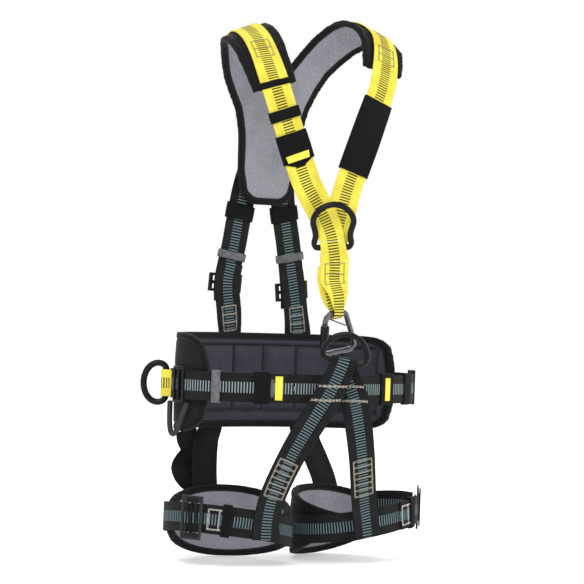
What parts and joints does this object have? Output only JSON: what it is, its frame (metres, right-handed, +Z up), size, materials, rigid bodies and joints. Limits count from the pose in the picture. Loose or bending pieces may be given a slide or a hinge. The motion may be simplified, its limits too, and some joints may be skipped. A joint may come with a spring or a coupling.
{
  "type": "full-body safety harness",
  "caption": "Full-body safety harness with padded work-positioning belt, yellow shoulder webbing, steel rings, chest carabiner and padded leg loops.",
  "frame": {"origin": "middle of the flat outer face at the lower end of the dorsal plate, between the shoulder blades; the centre of the waist is 0.121 m in front of it and 0.359 m below it", "axes": "+Z up along the wearer's spine, +X towards the wearer's left, -Y towards the wearer's front"},
  "size_m": [0.4762, 0.3109, 0.8733],
  "materials": {
    "yellow_webbing": "woven polyester webbing",
    "black_webbing": "woven polyester webbing",
    "black_elastic": "matt elastic",
    "grey_elastic": "matt elastic",
    "padding": "spacer mesh over foam with bound edges",
    "black_steel": "satin black coated steel",
    "steel": "polished",
    "plastic": "satin",
    "rubber": "satin"
  },
  "bodies": {
    "webbing_and_pads": {"yoke_pad": "padding", "shoulder_webbing_right": "yellow_webbing", "shoulder_webbing_left": "yellow_webbing", "chest_label_right": "black_elastic", "shoulder_sleeve_left": "black_elastic", "dorsal_plate": "plastic", "back_webbing_upper_right": "black_webbing", "back_webbing_lower_right": "black_webbing", "back_webbing_upper_left": "black_webbing", "back_webbing_lower_left": "black_webbing", "lumbar_pad": "padding", "belt_webbing_back": "black_webbing", "belt_webbing_front": "black_webbing", "belt_tail": "black_webbing", "belt_label_left": "black_elastic", "belt_adjuster_right": "black_steel", "side_ring_loop_right": "yellow_webbing", "belt_adjuster_left": "black_steel", "side_ring_loop_left": "yellow_webbing", "riser_webbing": "black_webbing", "rear_webbing_right": "black_webbing", "rear_webbing_left": "black_webbing", "rear_tail_right": "black_webbing", "leg_pad_right": "padding", "leg_webbing_right": "black_webbing", "leg_tail_right": "black_webbing", "leg_pad_left": "padding", "leg_webbing_left": "black_webbing", "leg_tail_left": "black_webbing"},
    "sternal_ring": {"sternal_ring": "black_steel"},
    "dorsal_ring": {"dorsal_ring": "black_steel"},
    "ventral_ring": {"ventral_ring": "black_steel"},
    "side_ring_right": {"side_ring_right": "black_steel"},
    "side_ring_left": {"side_ring_left": "black_steel"},
    "carabiner": {"carabiner_body": "steel", "gate_rivet": "steel", "captive_pin": "steel"},
    "gate": {"carabiner_gate": "steel", "gate_spring": "steel"},
    "screw_sleeve": {"screw_sleeve": "black_steel"},
    "back_adjuster_right": {"back_adjuster_right": "black_steel"},
    "leg_buckle_frame_right": {"leg_buckle_frame_right": "black_steel"},
    "leg_buckle_plate_right": {"leg_buckle_plate_right": "steel"},
    "gear_loop_right": {"gear_loop_right": "rubber"},
    "back_adjuster_left": {"back_adjuster_left": "black_steel"},
    "leg_buckle_frame_left": {"leg_buckle_frame_left": "black_steel"},
    "leg_buckle_plate_left": {"leg_buckle_plate_left": "steel"},
    "gear_loop_left": {"gear_loop_left": "rubber"},
    "rear_ring_right": {"rear_ring_right": "steel"},
    "chest_keeper_right": {"chest_keeper_right": "black_elastic"},
    "back_keeper_right": {"back_keeper_right": "black_elastic"},
    "back_elastic_right": {"back_elastic_right": "grey_elastic"},
    "leg_elastic_right": {"leg_elastic_right": "black_elastic"},
    "back_keeper_left": {"back_keeper_left": "black_elastic"},
    "back_elastic_left": {"back_elastic_left": "grey_elastic"},
    "leg_elastic_left": {"leg_elastic_left": "black_elastic"},
    "belt_elastic": {"belt_elastic": "grey_elastic"},
    "belt_keeper": {"belt_keeper": "black_elastic"},
    "belt_keeper_left": {"belt_keeper_left": "black_elastic"}
  },
  "joints": [
    {"name": "sternal_ring_hinge", "type": "hinge", "parent": "webbing_and_pads", "child": "sternal_ring", "pos_m": [-0.003, -0.233, -0.138], "axis": [0.9259, -0.3741, 0.0523], "range_deg": [0, 120]},
    {"name": "dorsal_ring_hinge", "type": "hinge", "parent": "webbing_and_pads", "child": "dorsal_ring", "pos_m": [0, 0.005, 0.029], "axis": [-1, 0, 0], "range_deg": [0, 150]},
    {"name": "ventral_ring_hinge", "type": "hinge", "parent": "webbing_and_pads", "child": "ventral_ring", "pos_m": [0.0015, -0.272, -0.315], "axis": [0.8376, -0.5234, -0.1564], "range_deg": [-8, 12]},
    {"name": "side_ring_hinge_right", "type": "hinge", "parent": "webbing_and_pads", "child": "side_ring_right", "pos_m": [-0.20766, -0.08088, -0.359], "axis": [0, 0, 1], "range_deg": [-70, 70]},
    {"name": "side_ring_hinge_left", "type": "hinge", "parent": "webbing_and_pads", "child": "side_ring_left", "pos_m": [0.20766, -0.08088, -0.359], "axis": [0, 0, 1], "range_deg": [-140, 0]},
    {"name": "carabiner_swing", "type": "hinge", "parent": "webbing_and_pads", "child": "carabiner", "pos_m": [0.001, -0.245, -0.24], "axis": [0.9792, -0.0685, 0.1908], "range_deg": [-8, 10]},
    {"name": "gate_hinge", "type": "hinge", "parent": "carabiner", "child": "gate", "pos_m": [-0.00424, -0.21878, -0.30326], "axis": [-0.0102, 0.9235, 0.3836], "range_deg": [0, 20], "stiffness_Nm_per_rad": 0.02},
    {"name": "sleeve_travel", "type": "slide", "parent": "gate", "child": "screw_sleeve", "axis": [-0.2025, -0.3775, 0.9036], "range_m": [0, 0.0055]},
    {"name": "back_adjuster_tilt_right", "type": "hinge", "parent": "webbing_and_pads", "child": "back_adjuster_right", "pos_m": [-0.06553, 0.00223, -0.21171], "axis": [-0.9992, -0.0026, 0.0406], "range_deg": [0, 20]},
    {"name": "leg_buckle_tilt_right", "type": "hinge", "parent": "webbing_and_pads", "child": "leg_buckle_frame_right", "pos_m": [-0.19343, -0.1846, -0.56305], "axis": [0.0257, -0.0288, 0.9993], "range_deg": [0, 12]},
    {"name": "leg_plate_tilt_right", "type": "hinge", "parent": "leg_buckle_frame_right", "child": "leg_buckle_plate_right", "pos_m": [-0.20111, -0.18141, -0.56276], "axis": [0.0257, -0.0288, 0.9993], "range_deg": [0, 35]},
    {"name": "gear_loop_swing_right", "type": "hinge", "parent": "webbing_and_pads", "child": "gear_loop_right", "pos_m": [-0.20921, -0.12772, -0.387], "axis": [-0.0757, 0.9971, 0], "range_deg": [0, 30]},
    {"name": "back_adjuster_tilt_left", "type": "hinge", "parent": "webbing_and_pads", "child": "back_adjuster_left", "pos_m": [0.06171, 0.00216, -0.22163], "axis": [-0.9913, 0.0079, -0.1314], "range_deg": [0, 20]},
    {"name": "leg_buckle_tilt_left", "type": "hinge", "parent": "webbing_and_pads", "child": "leg_buckle_frame_left", "pos_m": [0.2119, -0.16979, -0.55434], "axis": [0.035, 0.0531, -0.998], "range_deg": [0, 12]},
    {"name": "leg_plate_tilt_left", "type": "hinge", "parent": "leg_buckle_frame_left", "child": "leg_buckle_plate_left", "pos_m": [0.21902, -0.16552, -0.55386], "axis": [0.035, 0.0531, -0.998], "range_deg": [0, 35]},
    {"name": "gear_loop_swing_left", "type": "hinge", "parent": "webbing_and_pads", "child": "gear_loop_left", "pos_m": [0.1702, -0.04539, -0.387], "axis": [0.7659, -0.643, 0], "range_deg": [0, 40]},
    {"name": "rear_ring_swing_right", "type": "hinge", "parent": "webbing_and_pads", "child": "rear_ring_right", "pos_m": [-0.106, 0.001, -0.423], "axis": [1, 0, 0], "range_deg": [0, 25]},
    {"name": "chest_keeper_right_slide", "type": "slide", "parent": "webbing_and_pads", "child": "chest_keeper_right", "axis": [0.34, -0.0586, -0.9386], "range_m": [-0.006, 0.006]},
    {"name": "back_keeper_right_slide", "type": "slide", "parent": "webbing_and_pads", "child": "back_keeper_right", "axis": [-0.1617, 0.0142, -0.9867], "range_m": [-0.006, 0.006]},
    {"name": "back_elastic_right_slide", "type": "slide", "parent": "webbing_and_pads", "child": "back_elastic_right", "axis": [-0.1645, 0.0584, -0.9846], "range_m": [-0.006, 0.004]},
    {"name": "leg_elastic_right_slide", "type": "slide", "parent": "webbing_and_pads", "child": "leg_elastic_right", "axis": [0.8834, -0.4591, -0.094], "range_m": [-0.004, 0.004]},
    {"name": "back_keeper_left_slide", "type": "slide", "parent": "webbing_and_pads", "child": "back_keeper_left", "axis": [0.1914, 0.0149, -0.9814], "range_m": [-0.006, 0.006]},
    {"name": "back_elastic_left_slide", "type": "slide", "parent": "webbing_and_pads", "child": "back_elastic_left", "axis": [0.1929, 0.0513, -0.9799], "range_m": [-0.006, 0.006]},
    {"name": "leg_elastic_left_slide", "type": "slide", "parent": "webbing_and_pads", "child": "leg_elastic_left", "axis": [-0.8216, -0.5586, -0.1136], "range_m": [-0.004, 0.004]},
    {"name": "belt_elastic_slide", "type": "slide", "parent": "webbing_and_pads", "child": "belt_elastic", "axis": [0.7343, -0.6788, 0], "range_m": [-0.005, 0.005]},
    {"name": "belt_keeper_slide", "type": "slide", "parent": "webbing_and_pads", "child": "belt_keeper", "axis": [0.9281, -0.3724, 0], "range_m": [-0.005, 0.005]},
    {"name": "belt_keeper_left_slide", "type": "slide", "parent": "webbing_and_pads", "child": "belt_keeper_left", "axis": [0.8315, 0.5555, 0], "range_m": [-0.005, 0.005]}
  ]
}
